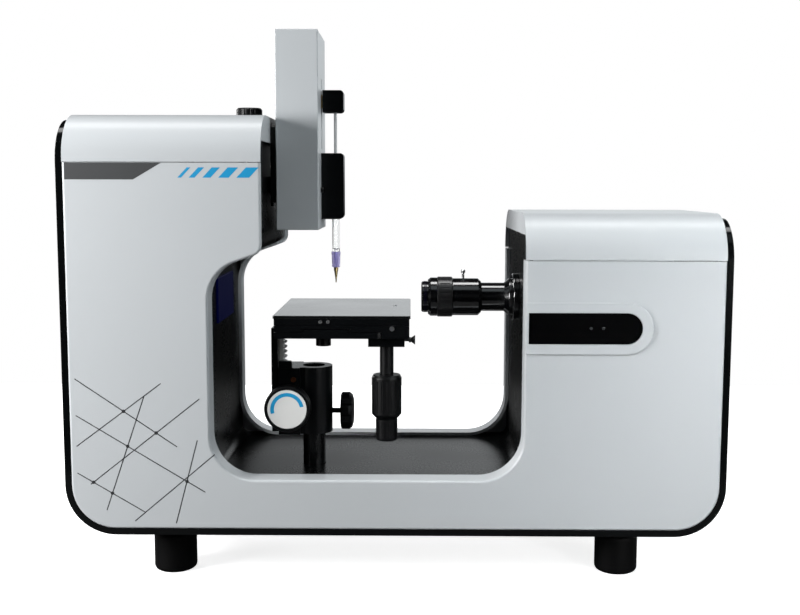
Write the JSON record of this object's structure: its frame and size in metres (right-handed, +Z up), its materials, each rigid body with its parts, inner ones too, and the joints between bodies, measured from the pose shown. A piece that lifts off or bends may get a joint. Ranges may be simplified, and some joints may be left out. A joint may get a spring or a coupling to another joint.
{
  "type": "contact angle tester",
  "caption": "U-shaped bench instrument with a lifting dosing head and syringe, a rack-driven sample stage with cross slides, a backlight and a macro lens facing it across the bay.",
  "frame": {"origin": "on the ground, in the middle of the housing's width and depth", "axes": "+X to the right, from the backlight to the lens; +Y to the rear; +Z up"},
  "size_m": [0.6, 0.222, 0.5077],
  "materials": {
    "silver_paint": "fine satin silver-grey paint",
    "gloss_black": "gloss black",
    "foot_rubber": "matt black rubber",
    "bare_steel": "plain sheet steel",
    "ground_steel": "ground steel",
    "black_plastic": "fine-grained black plastic",
    "black_anodised": "black anodised",
    "black_steel": "blackened steel",
    "grip_grey": "fluted dark grey anodised",
    "board": "circuit board lacquer",
    "light_panel": "blue-tinted diffuser",
    "lens_coating": "coated optical glass",
    "syringe_glass": "clear glass",
    "hub_violet": "translucent blue-violet plastic",
    "needle_gold": "polished"
  },
  "bodies": {
    "housing": {"front_cover": "silver_paint", "rear_cover": "silver_paint", "left_top_cover": "silver_paint", "right_top_cover": "silver_paint", "rim_band": "gloss_black", "inner_liner": "gloss_black", "rubber_feet": "foot_rubber", "base_plate": "bare_steel", "left_frame": "bare_steel", "right_frame": "bare_steel", "power_supply": "bare_steel", "control_board": "board", "window_bezel": "silver_paint", "window_panel": "gloss_black", "connector_plate": "black_plastic", "mains_inlet": "black_plastic", "data_port": "ground_steel", "light_housing": "black_plastic", "led_board": "board", "light_window": "light_panel", "camera_body": "black_anodised", "lens_mount": "black_anodised", "lens_barrel": "black_anodised", "lens_glass": "lens_coating", "lift_bracket": "bare_steel", "guide_rods": "ground_steel", "stage_post": "black_steel"},
    "lift_drive": {"lift_screw": "ground_steel", "lift_knob": "black_plastic"},
    "head": {"lift_carriage": "black_anodised", "mount_plate": "black_anodised", "head_back": "black_anodised", "head_shell": "silver_paint", "dosing_motor": "black_anodised", "dosing_guide": "ground_steel", "syringe_holder": "black_anodised", "syringe_barrel": "syringe_glass", "needle_hub": "hub_violet", "needle": "needle_gold"},
    "dosing_drive": {"dosing_screw": "ground_steel"},
    "pusher": {"dosing_nut": "needle_gold", "pusher_block": "black_anodised", "plunger": "syringe_glass"},
    "clamp": {"clamp_body": "black_anodised"},
    "clamp_lock": {"lock_knob": "black_plastic"},
    "focus_drive": {"focus_pinion": "ground_steel", "focus_knob": "black_plastic"},
    "stage_lift": {"lift_bar": "black_anodised", "focus_rack": "ground_steel", "stage_base": "black_anodised"},
    "long_table": {"y_table": "black_anodised", "drive_block": "black_anodised"},
    "long_drive": {"y_knob": "black_plastic"},
    "cross_drive": {"x_knob": "black_plastic"},
    "stage_lock": {"stage_lock_screw": "ground_steel"},
    "cross_table": {"x_table": "black_anodised", "stage_plate": "black_anodised"},
    "zoom_grip": {"grip_ring": "grip_grey"},
    "lens_lock": {"lens_lock_screw": "ground_steel"},
    "power_switch": {"rocker_switch": "black_plastic"}
  },
  "joints": [
    {"name": "head_lift", "type": "slide", "parent": "housing", "child": "head", "axis": [0, 0, 1], "range_m": [-0.012, 0.028]},
    {"name": "lift_turn", "type": "hinge", "parent": "housing", "child": "lift_drive", "pos_m": [-0.1433, 0, 0.38], "axis": [0, 0, 1], "range_deg": [-540.01, 1260.01]},
    {"name": "pusher_slide", "type": "slide", "parent": "head", "child": "pusher", "axis": [0, 0, 1], "range_m": [-0.038, 0.014]},
    {"name": "dosing_turn", "type": "hinge", "parent": "head", "child": "dosing_drive", "pos_m": [-0.0925, 0, 0.4], "axis": [0, 0, 1], "range_deg": [-1710.01, 630.01]},
    {"name": "clamp_slide", "type": "slide", "parent": "housing", "child": "clamp", "axis": [0, 0, 1], "range_m": [-0.005, 0.008]},
    {"name": "clamp_lock_turn", "type": "hinge", "parent": "clamp", "child": "clamp_lock", "pos_m": [-0.0795, -0.03, 0.1463], "axis": [1, 0, 0], "range_deg": [0, 360]},
    {"name": "focus_slide", "type": "slide", "parent": "clamp", "child": "stage_lift", "axis": [0, 0, 1], "range_m": [-0.015, 0.012]},
    {"name": "focus_turn", "type": "hinge", "parent": "clamp", "child": "focus_drive", "pos_m": [-0.1005, -0.03, 0.1571], "axis": [0, 1, 0], "range_deg": [-143.25, 114.6]},
    {"name": "long_slide", "type": "slide", "parent": "stage_lift", "child": "long_table", "axis": [0, 1, 0], "range_m": [-0.024, 0.024]},
    {"name": "long_turn", "type": "hinge", "parent": "long_table", "child": "long_drive", "pos_m": [-0.00873, -0.048, 0.17], "axis": [0, 0, 1], "range_deg": [-229.19, 229.19]},
    {"name": "cross_slide", "type": "slide", "parent": "long_table", "child": "cross_table", "axis": [1, 0, 0], "range_m": [-0.015, 0.01]},
    {"name": "cross_turn", "type": "hinge", "parent": "long_table", "child": "cross_drive", "pos_m": [-0.00873, -0.048, 0.13], "axis": [0, 0, 1], "range_deg": [-143.25, 95.5]},
    {"name": "stage_lock_turn", "type": "hinge", "parent": "long_table", "child": "stage_lock", "pos_m": [0.008, -0.048, 0.2183], "axis": [1, 0, 0], "range_deg": [0, 270]},
    {"name": "zoom_turn", "type": "hinge", "parent": "housing", "child": "zoom_grip", "pos_m": [0.0475, 0, 0.2547], "axis": [1, 0, 0], "range_deg": [-60, 60]},
    {"name": "lens_lock_turn", "type": "hinge", "parent": "housing", "child": "lens_lock", "pos_m": [0.0655, 0, 0.272], "axis": [0, 0, 1], "range_deg": [0, 270]},
    {"name": "power_switch_tip", "type": "hinge", "parent": "housing", "child": "power_switch", "pos_m": [0.233, 0.103, 0.136], "axis": [1, 0, 0], "range_deg": [-18, 0]}
  ],
  "couplings": [
    {"joint": "lift_turn", "follows": "head_lift", "rad_per_m": 785.4},
    {"joint": "dosing_turn", "follows": "pusher_slide", "rad_per_m": 785.4},
    {"joint": "focus_turn", "follows": "focus_slide", "rad_per_m": 166.67},
    {"joint": "long_turn", "follows": "long_slide", "rad_per_m": 166.67},
    {"joint": "cross_turn", "follows": "cross_slide", "rad_per_m": 166.67}
  ]
}
